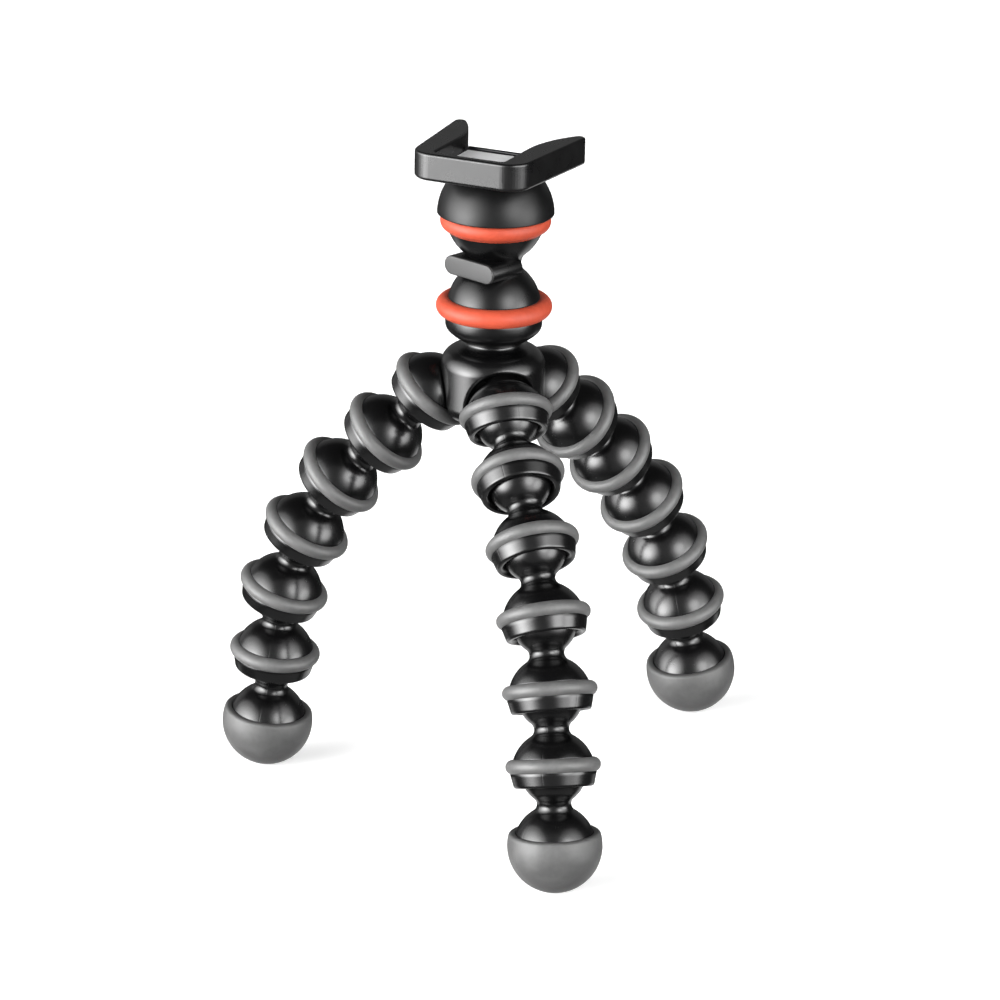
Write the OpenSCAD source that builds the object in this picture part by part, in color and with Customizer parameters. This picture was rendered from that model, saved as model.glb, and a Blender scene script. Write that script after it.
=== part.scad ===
// Flexible leg tripod. Three legs of snap-together ball-and-socket links stand on rubber feet and
// carry a hub. A short ball head on the hub holds a tapered U-shaped quick-release receiver.
// Millimetres, +Z up, feet on z = 0, the front towards -Y.
// Directions along a leg are given as an azimuth (0 towards -Y, positive towards +X) and an
// elevation (degrees below horizontal).

/* [Leg link] */
// Distance from one ball centre to the next along a leg
link_pitch = 12.5; // [12.4:0.1:14]
// Diameter of a leg ball
ball_d = 11; // [9:0.1:11.2]
// Radial clearance between a ball and its socket
ball_gap = 0.05; // [0.02:0.01:0.1]
// Outer diameter of the dome around a leg socket
dome_d = 14.1; // [13.8:0.1:14.6]
// Diameter of the band below the grip ring
band_d = 14.5; // [14.2:0.1:15]
// Distance from the ball centre to the mouth of its socket
mouth_z = 2.5; // [2:0.1:3]
// Diameter of the flared mouth
mouth_d = 11.8; // [11.4:0.1:12.4]
// Radius of the fillet that forms the neck between ball and dome
neck_fillet = 1.28; // [1:0.02:1.6]

/* [Grip ring] */
// Outer diameter of a grip ring on a leg link
ring_d = 16; // [15:0.1:17]
// Thickness of the ring's round section
ring_t = 2.5; // [2:0.1:3]
// Height of the ring's plane above the socket centre
ring_z = 1.1; // [0.5:0.1:1.6]
// Diameter of the groove floor under the ring
groove_d = 12.9; // [12.8:0.1:13.4]

/* [Foot] */
// Diameter of the rubber foot
foot_d = 16; // [14:0.1:20]
// Distance from the foot's ball centre to the centre of the rubber foot
foot_pitch = 12.6; // [12.5:0.1:15]
// Diameter of the hard core inside the rubber foot
core_d = 13.8; // [13:0.1:13.9]
// Height of the rubber's rim above the foot centre
foot_rim = 2.3; // [1:0.1:3]

/* [Hub] */
// Height of the hub's ball centre above the ground
hub_h = 86.5; // [80:0.5:100]
// Lean of the hub and head to the right
hub_lean = 3; // [-10:0.5:10]
// Azimuth of the front socket
hub_yaw = 12; // [-60:1:60]
// Distance of each leg socket's centre from the hub's axis
socket_r = 11.2; // [10.5:0.1:13]
// Depth of each leg socket's centre below the hub's ball centre
socket_drop = 15; // [14:0.1:18]
// Elevation at which the leg sockets point down
socket_el = 50; // [40:1:60]
// Diameter of the hub's body
hub_d = 18; // [16:0.1:20]
// Diameter of the pocket around each leg socket
pocket_d = 15.6; // [15:0.1:16]
// Diameter of the hub's ball
hub_ball_d = 12.6; // [11:0.1:13]
// Diameter of the hub's neck
hub_neck_d = 8.7; // [7:0.1:9.4]

/* [Head link] */
// Distance between the centres of the hub's ball and the head's ball
head_pitch = 18.2; // [18:0.1:20]
// Diameter of the head's ball
head_ball_d = 17; // [15:0.1:17.2]
// Outer diameter of the head link's dome
head_dome_d = 16; // [15.4:0.1:17]
// Outer diameter of the band below the head link's grip ring
head_band_d = 16.6; // [16.2:0.1:17.4]
// Outer diameter of the head link's grip ring
head_ring_d = 19.9; // [19:0.1:21]
// Thickness of the head link's grip ring
head_ring_t = 3.2; // [2.4:0.1:3.4]
// Width of the badge bar
badge_w = 11.3; // [8:0.1:12]
// Height of the badge bar
badge_h = 3.3; // [2:0.1:4]
// Distance from the head's axis to the badge's face
badge_reach = 6.6; // [5.6:0.1:7]
// Azimuth that the badge faces
badge_az = -44; // [-180:1:180]

/* [Receiver] */
// Azimuth that the receiver's closed end faces
receiver_yaw = -25.8; // [-180:0.2:180]
// Width of the closed end
receiver_w = 20.5; // [19:0.1:26]
// Overall length from the closed end to the tips of the arms
receiver_l = 23.1; // [20:0.1:28]
// Distance from the head's axis to the closed end
receiver_front = 13.1; // [11:0.1:16]
// Height of the walls
receiver_h = 4.8; // [4:0.1:7]
// Outward splay of each arm
arm_splay = 5.2; // [4:0.2:8]
// Width of the channel between the arms, before it flares towards the tips
channel_w = 12.9; // [11:0.1:14]
// Thickness of the closed end's wall
front_t = 1.7; // [1:0.1:3]
// Length of the floor behind the head's axis
floor_back = 4.3; // [3.8:0.1:8]
// Outer diameter of the cup over the head's ball
cup_d = 20; // [19.6:0.1:22]
// Outer diameter of the ring in the cup's mouth
cup_ring_d = 18.9; // [18.6:0.1:19.4]

/* [Pose] */
// Azimuths of the left leg's five links and foot, from the hub down
left_az = [-110, -112, -110, -110, -111, -112]; // [-180:1:180]
// Elevations of the left leg's links 1, 2, 4 and 5 and its foot (link 3 is solved so that the foot stands on the ground)
left_el = [42, 45, 68, 80, 81]; // [0:1:120]
// Azimuths of the front leg's five links and foot, from the hub down
front_az = [10, 14, 12, 6, 1, -6]; // [-180:1:180]
// Elevations of the front leg's links 1, 2, 4 and 5 and its foot
front_el = [39, 48, 66, 69, 82]; // [0:1:120]
// Azimuths of the right leg's five links and foot, from the hub down
right_az = [135, 135, 133, 136, 136, 136]; // [-180:1:180]
// Elevations of the right leg's links 1, 2, 4 and 5 and its foot
right_el = [42, 47, 63, 73, 81]; // [0:1:120]
// Offset in X that centres the footprint on the origin
stand_x = 5; // [-20:0.5:20]
// Offset in Y that centres the footprint on the origin
stand_y = 6.5; // [-20:0.5:20]

/* [Hidden] */
$fn = 96;

black = [0.06, 0.06, 0.065];
grey = [0.45, 0.45, 0.45];
red = [0.92, 0.28, 0.18];
badge_grey = [0.55, 0.55, 0.55];
steel = [0.8, 0.8, 0.8];

ball_r = ball_d / 2;
seat_r = ball_r + ball_gap;
dome_r = dome_d / 2;
band_r = band_d / 2;
mouth_r = mouth_d / 2;
lip_z = mouth_z - 0.6;
tube_r = ring_t / 2;
ring_r = ring_d / 2 - tube_r;
groove_r = groove_d / 2;
foot_r = foot_d / 2;
core_r = core_d / 2;
hub_r = hub_d / 2;
pocket_r = pocket_d / 2;
hub_ball_r = hub_ball_d / 2;
hub_neck_r = hub_neck_d / 2;
head_ball_r = head_ball_d / 2;
head_dome_r = head_dome_d / 2;
head_band_r = head_band_d / 2;
head_tube_r = head_ring_t / 2;
head_ring_r = head_ring_d / 2 - head_tube_r;
head_ring_z = 2;
head_seat_r = hub_ball_r + ball_gap;
head_mouth_z = 4.1;
cup_r = cup_d / 2;
cup_seat_r = head_ball_r + ball_gap;
cup_tube_r = 1.6;
cup_ring_z = -1.08;
cup_ring_r = cup_ring_d / 2 - cup_tube_r;
cup_rim_z = 0.25;
floor_z = 8;
floor_t = 1.9;
plate_t = 0.5;
plate_back = 2.1;
rib_y = 3.2;
rib_r = 0.35;
bar_z = 9.6;

// Leg directions and joint positions
function dir(az, el) = [cos(el) * sin(az), -cos(el) * cos(az), -sin(el)];
function hub_pt(p) = [
    stand_x + cos(hub_lean) * p[0] + sin(hub_lean) * p[2],
    stand_y + p[1],
    hub_h - sin(hub_lean) * p[0] + cos(hub_lean) * p[2]
];
function socket_az(k) = hub_yaw + 120 * (k - 1);
function base_pt(k) = hub_pt([socket_r * sin(socket_az(k)), -socket_r * cos(socket_az(k)), -socket_drop]);
function az_of(k) = k == 0 ? left_az : k == 1 ? front_az : right_az;
function el_of(k) = k == 0 ? left_el : k == 1 ? front_el : right_el;
function given_drop(e) = link_pitch * (sin(e[0]) + sin(e[1]) + sin(e[2]) + sin(e[3])) + foot_pitch * sin(e[4]);
function solved_el(k) = asin((base_pt(k)[2] - foot_r - given_drop(el_of(k))) / link_pitch);
function link_el(k, i) = i < 3 ? el_of(k)[i - 1] : i == 3 ? solved_el(k) : el_of(k)[i - 2];
function link_len(i) = i < 6 ? link_pitch : foot_pitch;
function joint_pt(k, i) = i == 0 ? base_pt(k) : joint_pt(k, i - 1) + link_len(i) * dir(az_of(k)[i - 1], link_el(k, i));

module at_link(k, i) translate(joint_pt(k, i)) rotate([link_el(k, i) - 90, 0, az_of(k)[i - 1]]) children();
module at_hub() translate([stand_x, stand_y, hub_h]) rotate([0, hub_lean, 0]) children();
module at_socket(k) at_hub()
    translate([socket_r * sin(socket_az(k)), -socket_r * cos(socket_az(k)), -socket_drop])
        rotate([socket_el - 90, 0, socket_az(k)]) children();
module at_head() at_hub() rotate([0, 0, badge_az]) children();
module at_receiver() at_hub() translate([0, 0, head_pitch]) rotate([0, 0, receiver_yaw]) children();

// Half of a round profile, on the side of positive radius
module half_disc(r, z = 0) intersection() {
    translate([0, z]) circle(r);
    translate([0, z - r - 1]) square([r + 1, 2 * r + 2]);
}

// Neck between a lower sphere at the origin and an upper sphere at height d, with a fillet of radius f
module neck(low_r, up_r, d, f) {
    z0 = (d * d + (low_r + f) * (low_r + f) - (up_r + f) * (up_r + f)) / (2 * d);
    c = sqrt((low_r + f) * (low_r + f) - z0 * z0);
    a = low_r / (low_r + f);
    b = up_r / (up_r + f);
    difference() {
        polygon([[0, z0 * a], [c * a, z0 * a], [c, z0], [c * b, d + (z0 - d) * b], [0, d + (z0 - d) * b]]);
        translate([c, z0]) circle(f + 0.03);
    }
}

// Socket of a leg link: dome, band and mouth around the ball centre at the origin
module dome_section() intersection() {
    half_disc(dome_r);
    translate([0, -1]) square([dome_r + 1, dome_r + 2]);
}
module band() {
    translate([0, 0, -mouth_z]) cylinder(r1 = band_r - 0.95, r2 = band_r - 0.35, h = 0.6);
    translate([0, 0, -mouth_z + 0.6]) cylinder(r1 = band_r - 0.35, r2 = band_r, h = mouth_z - 0.2);
}
module socket_inner() {
    half_disc(seat_r);
    polygon([
        [0, -lip_z], [sqrt(seat_r * seat_r - lip_z * lip_z), -lip_z],
        [mouth_r, -mouth_z], [mouth_r + 0.1, -mouth_z - 0.1], [0, -mouth_z - 0.1]
    ]);
}
module ring_section() intersection() {
    translate([ring_r, ring_z]) circle(tube_r);
    translate([groove_r, ring_z - tube_r - 1]) square([2 * tube_r + 1, 2 * tube_r + 2]);
}
module link_shape() difference() {
    union() {
        rotate_extrude() {
            dome_section();
            neck(dome_r, ball_r, link_pitch, neck_fillet);
            half_disc(ball_r, link_pitch);
        }
        band();
    }
    rotate_extrude() socket_inner();
    rotate_extrude() ring_section();
}
module ring_shape() rotate_extrude() ring_section();

// Leg socket fixed in the hub by a stub and a stud
stub_r = 2.6;
stud_r = 1.8;
stub_end = pocket_r + 0.5;
stud_end = 9.4;
module hub_socket_shape() difference() {
    union() {
        rotate_extrude() dome_section();
        band();
        translate([0, 0, dome_r - 1]) cylinder(r = stub_r, h = stub_end - dome_r + 1);
        translate([0, 0, stub_end - 0.5]) cylinder(r = stud_r, h = stud_end - stub_end + 0.5);
    }
    rotate_extrude() socket_inner();
    rotate_extrude() ring_section();
}

// Hub: ball and neck on a round body with a pocket around each leg socket
module hub_shape() difference() {
    union() {
        sphere(hub_ball_r);
        rotate_extrude() difference() {
            polygon([
                [0, -3.6], [hub_neck_r + 1.5, -3.6], [hub_neck_r + 1.5, -5.25], [hub_r - 2, -5.55],
                [hub_r - 1.4, -5.75], [hub_r - 0.95, -6.1], [hub_r - 0.55, -6.65], [hub_r - 0.25, -7.4],
                [hub_r - 0.07, -8.2], [hub_r, -9], [hub_r, -14.2],
                [hub_r - 0.4, -15.8], [hub_r - 1.5, -17.1], [hub_r - 3.2, -17.6], [0, -17.6]
            ]);
            translate([hub_neck_r + 1.5, -3.75]) circle(1.5);
        }
    }
    for (k = [0:2])
        translate([socket_r * sin(socket_az(k)), -socket_r * cos(socket_az(k)), -socket_drop])
            rotate([socket_el - 90, 0, socket_az(k)]) {
                rotate([90 - socket_el, 0, 0]) sphere(pocket_r);
                // room for the grip ring
                intersection() {
                    rotate([90 - socket_el, 0, 0]) sphere(ring_d / 2 + 0.2);
                    translate([0, 0, -12]) cylinder(r = 12, h = 15);
                }
                translate([0, 0, pocket_r - 1]) cylinder(r = stub_r, h = stub_end - pocket_r + 1);
                translate([0, 0, pocket_r]) cylinder(r = stud_r, h = stud_end - pocket_r);
            }
}

// Foot: hard core with ball and neck, and the rubber ball around it
module foot_core_shape() {
    sphere(core_r);
    rotate_extrude() neck(core_r, ball_r, foot_pitch, 1.5);
    translate([0, 0, foot_pitch]) sphere(ball_r);
}
module foot_shape() rotate_extrude() difference() {
    intersection() {
        half_disc(foot_r);
        union() {
            translate([0, -foot_r]) square([foot_r, foot_r + foot_rim - 0.6]);
            translate([0, -foot_r]) square([foot_r - 0.9, foot_r + foot_rim]);
            translate([foot_r - 0.9, foot_rim - 0.6]) circle(0.6);
        }
    }
    half_disc(core_r);
}

// Head link: socket over the hub's ball, neck with the badge bar, ball for the receiver
module head_ring_section() intersection() {
    translate([head_ring_r, head_ring_z]) circle(head_tube_r);
    translate([head_dome_r - 0.5, head_ring_z - head_tube_r - 1]) square([2 * head_tube_r + 1, 2 * head_tube_r + 2]);
}
module pill(w, h) {
    translate([-w / 2 + h / 2, -h / 2]) square([w - h, h]);
    for (s = [-1, 1]) translate([s * (w - h) / 2, 0]) circle(h / 2);
}
module head_link_shape() difference() {
    union() {
        rotate_extrude() intersection() {
            half_disc(head_dome_r, head_ring_z);
            translate([0, head_ring_z - 0.5]) square([head_dome_r + 1, head_dome_r + 1]);
        }
        rotate_extrude() polygon([
            [0, head_ring_z], [head_band_r, head_ring_z], [head_band_r, -0.8], [head_band_r - 0.05, -1.3],
            [head_band_r - 0.2, -1.8], [head_band_r - 0.5, -2.3], [head_band_r - 1.1, -2.85],
            [head_band_r - 1.7, -3.25], [head_band_r - 2.4, -3.7], [head_band_r - 3.15, -head_mouth_z],
            [0, -head_mouth_z]
        ]);
        translate([0, 0, head_ring_z]) rotate_extrude() neck(head_dome_r, head_ball_r, head_pitch - head_ring_z, 2.4);
        translate([0, 0, head_pitch]) sphere(head_ball_r);
        translate([0, 0.9, bar_z]) rotate([90, 0, 0]) linear_extrude(badge_reach + 0.4) pill(badge_w, badge_h);
    }
    rotate_extrude() head_ring_section();
    rotate_extrude() half_disc(head_seat_r);
}

// Receiver: cup over the head's ball, floor, closed end and two splayed arms
function arm_x(y) = receiver_w / 2 + (y + receiver_front) * tan(arm_splay);
tip_y = receiver_l - receiver_front;
in_front = -receiver_front + front_t;
corner_r = 4;
tip_r = 1.1;
lead_y = -2;
// centre of an arm's rounded tip, and the radius of the flare that runs from the channel wall into it
tip_cy = tip_y - tip_r;
tip_cx = arm_x(tip_cy) - tip_r / cos(arm_splay);
lead_a = tip_cx - channel_w / 2;
lead_b = tip_cy - lead_y;
lead_r = (lead_a * lead_a + lead_b * lead_b - tip_r * tip_r) / (2 * (lead_a - tip_r));
lead_end = asin(lead_b / (lead_r - tip_r));
module receiver_outline(y_end) difference() {
    polygon([
        [-arm_x(-receiver_front), -receiver_front], [arm_x(-receiver_front), -receiver_front],
        [arm_x(y_end), y_end], [-arm_x(y_end), y_end]
    ]);
    // rounded outer corners at the closed end
    for (s = [-1, 1]) difference() {
        translate([s * (receiver_w / 2 - 1.6), -receiver_front + 1.7]) square(4.2, center = true);
        translate([s * (receiver_w / 2 + corner_r * (tan(arm_splay) - 1 / cos(arm_splay))), -receiver_front + corner_r])
            circle(corner_r);
    }
}
module arm_outline() hull() {
    polygon(concat(
        [[arm_x(-receiver_front), -receiver_front], [channel_w / 2, -receiver_front]],
        [for (i = [0:12]) let (t = lead_end * i / 12)
            [channel_w / 2 + lead_r * (1 - cos(t)), lead_y + lead_r * sin(t)]],
        [[arm_x(tip_cy), tip_cy]]
    ));
    translate([tip_cx, tip_cy]) circle(tip_r);
}
module wall_outline() intersection() {
    receiver_outline(tip_y + 1);
    union() {
        arm_outline();
        mirror([1, 0]) arm_outline();
        translate([-receiver_w, -receiver_front - 1]) square([2 * receiver_w, front_t + 1]);
    }
}
module channel_outline(y_end) translate([-channel_w / 2, in_front]) square([channel_w, y_end - in_front]);
module receiver_shape() difference() {
    union() {
        rotate_extrude() difference() {
            intersection() {
                half_disc(cup_r);
                translate([0, cup_rim_z]) square([cup_r + 1, floor_z + floor_t - cup_rim_z]);
            }
            polygon([[cup_r - 0.3, cup_rim_z - 0.1], [cup_r + 0.2, cup_rim_z + 0.6], [cup_r + 0.2, cup_rim_z - 0.1]]);
        }
        translate([0, 0, floor_z]) linear_extrude(receiver_h) wall_outline();
        translate([0, 0, floor_z]) linear_extrude(floor_t) receiver_outline(floor_back);
        // low rib across the floor
        translate([0, rib_y, floor_z + floor_t]) rotate([0, 90, 0]) cylinder(r = rib_r, h = channel_w + 1, center = true);
    }
    rotate_extrude() {
        half_disc(cup_seat_r);
        cup_ring_section();
    }
    translate([0, 0, floor_z + floor_t - plate_t]) linear_extrude(plate_t + 1) plate_outline();
}
module plate_outline() intersection() {
    channel_outline(tip_y);
    translate([-20, in_front - 1]) square([40, plate_back - in_front + 1]);
}
module floor_plate_shape() translate([0, 0, floor_z + floor_t - plate_t]) linear_extrude(plate_t) plate_outline();
module cup_ring_section() difference() {
    translate([cup_ring_r, cup_ring_z]) circle(cup_tube_r);
    half_disc(cup_seat_r);
    translate([0, -20]) square([head_ball_r - 0.6, 40]);
}

// Sub-parts
module hub() color(black) at_hub() hub_shape();
module hub_socket_left() color(black) at_socket(0) hub_socket_shape();
module hub_socket_front() color(black) at_socket(1) hub_socket_shape();
module hub_socket_right() color(black) at_socket(2) hub_socket_shape();
module hub_ring_left() color(grey) at_socket(0) ring_shape();
module hub_ring_front() color(grey) at_socket(1) ring_shape();
module hub_ring_right() color(grey) at_socket(2) ring_shape();
module link_left_1() color(black) at_link(0, 1) link_shape();
module link_left_2() color(black) at_link(0, 2) link_shape();
module link_left_3() color(black) at_link(0, 3) link_shape();
module link_left_4() color(black) at_link(0, 4) link_shape();
module link_left_5() color(black) at_link(0, 5) link_shape();
module link_front_1() color(black) at_link(1, 1) link_shape();
module link_front_2() color(black) at_link(1, 2) link_shape();
module link_front_3() color(black) at_link(1, 3) link_shape();
module link_front_4() color(black) at_link(1, 4) link_shape();
module link_front_5() color(black) at_link(1, 5) link_shape();
module link_right_1() color(black) at_link(2, 1) link_shape();
module link_right_2() color(black) at_link(2, 2) link_shape();
module link_right_3() color(black) at_link(2, 3) link_shape();
module link_right_4() color(black) at_link(2, 4) link_shape();
module link_right_5() color(black) at_link(2, 5) link_shape();
module ring_left_1() color(grey) at_link(0, 1) ring_shape();
module ring_left_2() color(grey) at_link(0, 2) ring_shape();
module ring_left_3() color(grey) at_link(0, 3) ring_shape();
module ring_left_4() color(grey) at_link(0, 4) ring_shape();
module ring_left_5() color(grey) at_link(0, 5) ring_shape();
module ring_front_1() color(grey) at_link(1, 1) ring_shape();
module ring_front_2() color(grey) at_link(1, 2) ring_shape();
module ring_front_3() color(grey) at_link(1, 3) ring_shape();
module ring_front_4() color(grey) at_link(1, 4) ring_shape();
module ring_front_5() color(grey) at_link(1, 5) ring_shape();
module ring_right_1() color(grey) at_link(2, 1) ring_shape();
module ring_right_2() color(grey) at_link(2, 2) ring_shape();
module ring_right_3() color(grey) at_link(2, 3) ring_shape();
module ring_right_4() color(grey) at_link(2, 4) ring_shape();
module ring_right_5() color(grey) at_link(2, 5) ring_shape();
module foot_core_left() color(black) at_link(0, 6) foot_core_shape();
module foot_core_front() color(black) at_link(1, 6) foot_core_shape();
module foot_core_right() color(black) at_link(2, 6) foot_core_shape();
module foot_left() color(grey) at_link(0, 6) foot_shape();
module foot_front() color(grey) at_link(1, 6) foot_shape();
module foot_right() color(grey) at_link(2, 6) foot_shape();
module head_link() color(black) at_head() head_link_shape();
module head_ring() color(red) at_head() rotate_extrude() head_ring_section();
module badge() color(badge_grey) at_head()
    translate([0, -badge_reach + 0.5, bar_z]) rotate([90, 0, 0]) linear_extrude(0.5) pill(badge_w, badge_h);
module receiver() color(black) at_receiver() receiver_shape();
module cup_ring() color(red) at_receiver() rotate_extrude() cup_ring_section();
module floor_plate() color(steel) at_receiver() floor_plate_shape();

hub();
hub_socket_left();
hub_socket_front();
hub_socket_right();
hub_ring_left();
hub_ring_front();
hub_ring_right();
link_left_1();
link_left_2();
link_left_3();
link_left_4();
link_left_5();
link_front_1();
link_front_2();
link_front_3();
link_front_4();
link_front_5();
link_right_1();
link_right_2();
link_right_3();
link_right_4();
link_right_5();
ring_left_1();
ring_left_2();
ring_left_3();
ring_left_4();
ring_left_5();
ring_front_1();
ring_front_2();
ring_front_3();
ring_front_4();
ring_front_5();
ring_right_1();
ring_right_2();
ring_right_3();
ring_right_4();
ring_right_5();
foot_core_left();
foot_core_front();
foot_core_right();
foot_left();
foot_front();
foot_right();
head_link();
head_ring();
badge();
receiver();
cup_ring();
floor_plate();
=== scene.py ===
import math

import bpy
import numpy as np
from mathutils import Matrix, Vector


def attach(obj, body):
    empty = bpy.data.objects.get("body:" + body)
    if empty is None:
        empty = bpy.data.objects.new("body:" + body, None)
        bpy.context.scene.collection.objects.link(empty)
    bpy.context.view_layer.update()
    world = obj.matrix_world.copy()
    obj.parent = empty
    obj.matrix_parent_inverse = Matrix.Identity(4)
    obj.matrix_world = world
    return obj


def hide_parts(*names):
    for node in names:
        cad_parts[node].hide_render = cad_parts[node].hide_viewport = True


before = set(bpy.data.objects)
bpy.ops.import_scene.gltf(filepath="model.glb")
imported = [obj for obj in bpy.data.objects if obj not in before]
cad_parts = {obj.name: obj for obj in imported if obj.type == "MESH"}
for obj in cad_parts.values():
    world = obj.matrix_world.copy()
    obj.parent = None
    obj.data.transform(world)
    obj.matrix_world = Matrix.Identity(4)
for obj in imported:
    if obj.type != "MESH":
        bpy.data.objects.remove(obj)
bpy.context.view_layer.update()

MM = 0.001
scene = bpy.context.scene

# ---------------------------------------------------------------------------
# Dimensions and pose, in millimetres and degrees, as in the construction
# ---------------------------------------------------------------------------
PITCH, FOOT_PITCH = 12.5, 12.6
BALL_R, DOME_R, BAND_R, MOUTH_Z, MOUTH_R = 5.5, 7.05, 7.25, 2.5, 5.9
SEAT_R = 5.55
RING_R, RING_Z, TUBE_R = 6.75, 1.1, 1.25
FOOT_R, CORE_R, FOOT_RIM = 8.0, 6.9, 2.3
HUB_H, LEAN, YAW = 86.5, 3.0, 12.0
SOCKET_R, SOCKET_DROP, SOCKET_EL = 11.2, 15.0, 50.0
HUB_R, POCKET_R, HUB_BALL_R, HUB_NECK_R = 9.0, 7.8, 6.3, 4.35
HEAD_PITCH, HEAD_BALL_R, HEAD_DOME_R, HEAD_BAND_R = 18.2, 8.5, 8.0, 8.3
HEAD_RING_R, HEAD_TUBE_R, HEAD_RING_Z = 8.35, 1.6, 2.0
BADGE_W, BADGE_H, BADGE_REACH, BADGE_AZ, BAR_Z = 11.3, 3.3, 6.6, -44.0, 9.6
REC_YAW, REC_W, REC_L, REC_FRONT, REC_H = -25.8, 20.5, 23.1, 13.1, 4.8
ARM_SPLAY, CHANNEL_W, FRONT_T, FLOOR_BACK = 5.2, 12.9, 1.7, 4.3
CORNER_R, TIP_R, LEAD_Y, RIB_Y, RIB_R = 4.0, 1.1, -2.0, 3.2, 0.35
CUP_R, CUP_RING_R, CUP_TUBE_R, CUP_RING_Z, CUP_RIM_Z = 10.0, 7.85, 1.6, -1.08, 0.25
FLOOR_Z, FLOOR_T, PLATE_T, PLATE_BACK = 8.0, 1.9, 0.5, 2.1
STAND = (5.0, 6.5)
LEGS = ("left", "front", "right")
AZ = {"left": (-110, -112, -110, -110, -111, -112),
      "front": (10, 14, 12, 6, 1, -6),
      "right": (135, 135, 133, 136, 136, 136)}
EL = {"left": (42, 45, 68, 80, 81), "front": (39, 48, 66, 69, 82), "right": (42, 47, 63, 73, 81)}

sin, cos, rad = (lambda a: math.sin(math.radians(a))), (lambda a: math.cos(math.radians(a))), math.radians


def turn(axis, degrees):
    return Matrix.Rotation(math.radians(degrees), 4, axis)


def shift(x, y, z):
    return Matrix.Translation(Vector((x, y, z)) * MM)


M_HUB = shift(STAND[0], STAND[1], HUB_H) @ turn("Y", LEAN)
M_HEAD = M_HUB @ turn("Z", BADGE_AZ)
M_REC = M_HUB @ shift(0, 0, HEAD_PITCH) @ turn("Z", REC_YAW)


def socket_local(k):
    a = YAW + 120 * (k - 1)
    return (shift(SOCKET_R * sin(a), -SOCKET_R * cos(a), -SOCKET_DROP)
            @ turn("Z", a) @ turn("X", SOCKET_EL - 90))


def leg_matrices(k):
    """Placement of the hub socket, the five links and the foot of one leg."""
    leg = LEGS[k]
    first = M_HUB @ socket_local(k)
    e = EL[leg]
    p = first.translation / MM
    given = PITCH * sum(sin(x) for x in e[:4]) + FOOT_PITCH * sin(e[4])
    e3 = math.degrees(math.asin((p.z - FOOT_R - given) / PITCH))
    els = (e[0], e[1], e3, e[2], e[3], e[4])
    found = [first]
    for i in range(6):
        a, el = AZ[leg][i], els[i]
        d = Vector((cos(el) * sin(a), -cos(el) * cos(a), -sin(el)))
        p = p + d * (PITCH if i < 5 else FOOT_PITCH)
        found.append(shift(*p) @ turn("Z", a) @ turn("X", el - 90))
    return found


# ---------------------------------------------------------------------------
# Mesh helpers. Local shapes are in millimetres and become metres in the mesh
# ---------------------------------------------------------------------------
def arc(cx, cz, r, a0, a1, n):
    t = np.radians(np.linspace(a0, a1, n))
    return np.stack([cx + r * np.cos(t), cz + r * np.sin(t)], 1)


def line(*pts):
    return np.array(pts, float)


def trimmed(path, d, end):
    """The path without its last (or first) d millimetres."""
    p = path[::-1] if end else path
    step = np.linalg.norm(np.diff(p, axis=0), axis=1)
    run = np.concatenate([[0], np.cumsum(step)])
    d = min(d, 0.45 * run[-1])
    i = int(np.searchsorted(run, d)) - 1
    i = max(i, 0)
    t = (d - run[i]) / max(step[i], 1e-12)
    start = p[i] + t * (p[i + 1] - p[i])
    out = np.vstack([[start], p[i + 1:]])
    return out[::-1] if end else out


def join(a, b, d=0.0, n=6):
    """Two profile runs that meet at a corner, with the corner rounded over d millimetres each way."""
    if d <= 0:
        return np.vstack([a, b[1:]])
    corner = a[-1]
    a2, b2 = trimmed(a, d, True), trimmed(b, d, False)
    t = np.linspace(0, 1, n + 2)[1:-1, None]
    curve = (1 - t) ** 2 * a2[-1] + 2 * t * (1 - t) * corner + t ** 2 * b2[0]
    return np.vstack([a2, curve, b2])


def subdivided(path, longest):
    """The path with no step longer than the given length."""
    out = [path[0]]
    for a, b in zip(path[:-1], path[1:]):
        n = max(1, int(math.ceil(np.linalg.norm(b - a) / longest)))
        out += [a + (b - a) * (i + 1) / n for i in range(n)]
    return np.array(out)


def flowing(pts, n=5):
    """A smooth run through the given points."""
    p = np.asarray(pts, float)
    q = np.vstack([2 * p[0] - p[1], p, 2 * p[-1] - p[-2]])
    out = [p[0]]
    for i in range(1, len(q) - 2):
        for t in np.linspace(0, 1, n + 1)[1:]:
            out.append(0.5 * (2 * q[i] + (q[i + 1] - q[i - 1]) * t + (2 * q[i - 1] - 5 * q[i] + 4 * q[i + 1] - q[i + 2]) * t ** 2
                              + (3 * q[i] - q[i - 1] - 3 * q[i + 1] + q[i + 2]) * t ** 3))
    return np.array(out)


def neck_arcs(low_r, up_r, d, f, n_up, n_neck, n_low, low_end, up_start=90.0):
    """Upper ball, neck fillet and lower dome as one smooth run, from the top down."""
    z0 = (d * d + (low_r + f) ** 2 - (up_r + f) ** 2) / (2 * d)
    c = math.sqrt((low_r + f) ** 2 - z0 * z0)
    up_end = math.degrees(math.atan2(z0 - d, c))
    low_start = math.degrees(math.atan2(z0, c))
    ball = arc(0, d, up_r, up_start, up_end, n_up)
    neck = arc(c, z0, f, 180 + up_end, 180 + low_start, n_neck)
    dome = arc(0, 0, low_r, low_start, low_end, n_low)
    return np.vstack([ball, neck[1:], dome[1:]])


def mesh_object(name, verts, faces, matrix=None, smooth=True):
    mesh = bpy.data.meshes.new(name)
    mesh.from_pydata([tuple(v) for v in np.asarray(verts) * MM], [], [tuple(int(i) for i in f) for f in faces])
    mesh.update()
    if smooth:
        mesh.polygons.foreach_set("use_smooth", np.ones(len(mesh.polygons), bool))
    ob = bpy.data.objects.new(name, mesh)
    scene.collection.objects.link(ob)
    if matrix is not None:
        ob.matrix_world = matrix
    return ob


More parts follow.
